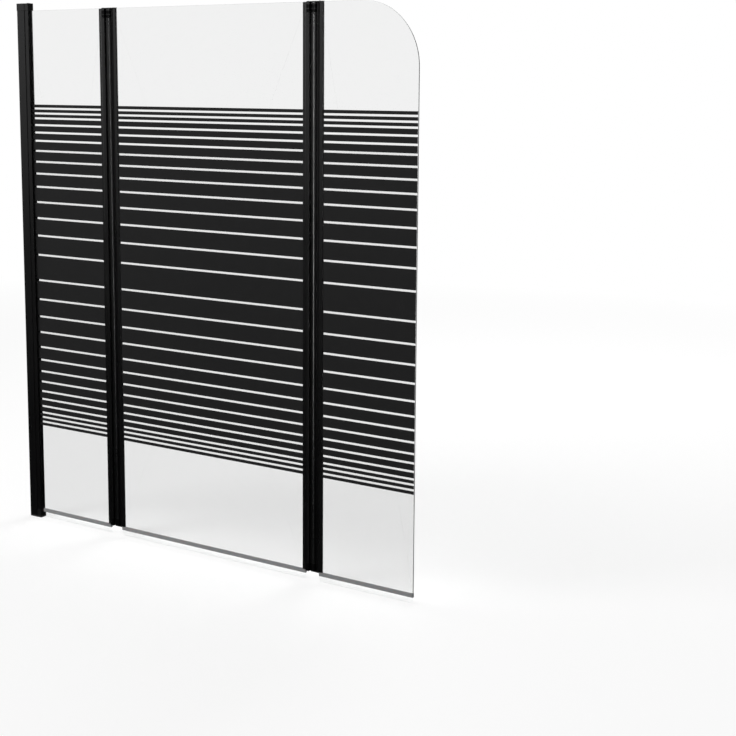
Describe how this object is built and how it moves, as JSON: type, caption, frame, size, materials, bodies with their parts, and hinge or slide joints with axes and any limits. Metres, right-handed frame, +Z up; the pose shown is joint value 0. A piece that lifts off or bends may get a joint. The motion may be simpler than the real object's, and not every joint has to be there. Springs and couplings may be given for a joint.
{
  "type": "folding bath screen",
  "caption": "Folding bath screen with a fixed wall leaf, a wide leaf and a narrow round-cornered leaf on full-height hinges, with graded printed bars.",
  "frame": {"origin": "on the wall, on the centre plane of the glass, level with the foot of the wall profile that stands on the bath rim", "axes": "+X runs from the wall along the bath rim to the free glass edge, +Y points into the bath, +Z is up"},
  "size_m": [1.2515, 0.0267, 1.4112],
  "materials": {
    "profile": "satin black powder coat",
    "plastic": "matte black moulding",
    "glass": "clear toughened glass",
    "print": "black ceramic print",
    "seal": "translucent grey vinyl",
    "strip": "soft black vinyl",
    "steel": "stainless steel"
  },
  "bodies": {
    "wall_leaf": {"wall_channel": "profile", "adjusting_profile": "profile", "wall_top_cap": "plastic", "wall_foot_cap": "plastic", "locking_screws": "steel", "screw_covers": "plastic", "wall_glazing_strip": "strip", "leaf1_glass": "glass", "leaf1_print": "print", "leaf1_bottom_seal": "seal", "hinge1_fixed_profile": "profile", "hinge1_fixed_strip": "strip", "hinge1_top_block": "plastic", "hinge1_foot_block": "plastic", "hinge1_pins": "steel", "hinge1_block_screws": "steel", "hinge1_barrel_seal": "strip"},
    "middle_leaf": {"hinge1_moving_profile": "profile", "hinge1_moving_strip": "strip", "hinge1_bushes": "plastic", "hinge1_end_caps": "plastic", "hinge1_cap_screws": "steel", "leaf2_glass": "glass", "leaf2_print": "print", "leaf2_bottom_seal": "seal", "hinge2_fixed_profile": "profile", "hinge2_fixed_strip": "strip", "hinge2_top_block": "plastic", "hinge2_foot_block": "plastic", "hinge2_pins": "steel", "hinge2_block_screws": "steel", "hinge2_barrel_seal": "strip"},
    "outer_leaf": {"hinge2_moving_profile": "profile", "hinge2_moving_strip": "strip", "hinge2_bushes": "plastic", "hinge2_end_caps": "plastic", "hinge2_cap_screws": "steel", "leaf3_glass": "glass", "leaf3_print": "print", "leaf3_bottom_seal": "seal"}
  },
  "joints": [
    {"name": "middle_leaf_fold", "type": "hinge", "parent": "wall_leaf", "child": "middle_leaf", "pos_m": [0.3185, 0.004, 0.7], "axis": [0, 0, 1], "range_deg": [0, 110]},
    {"name": "outer_leaf_fold", "type": "hinge", "parent": "middle_leaf", "child": "outer_leaf", "pos_m": [0.9635, 0.004, 0.7], "axis": [0, 0, 1], "range_deg": [0, 180]}
  ]
}
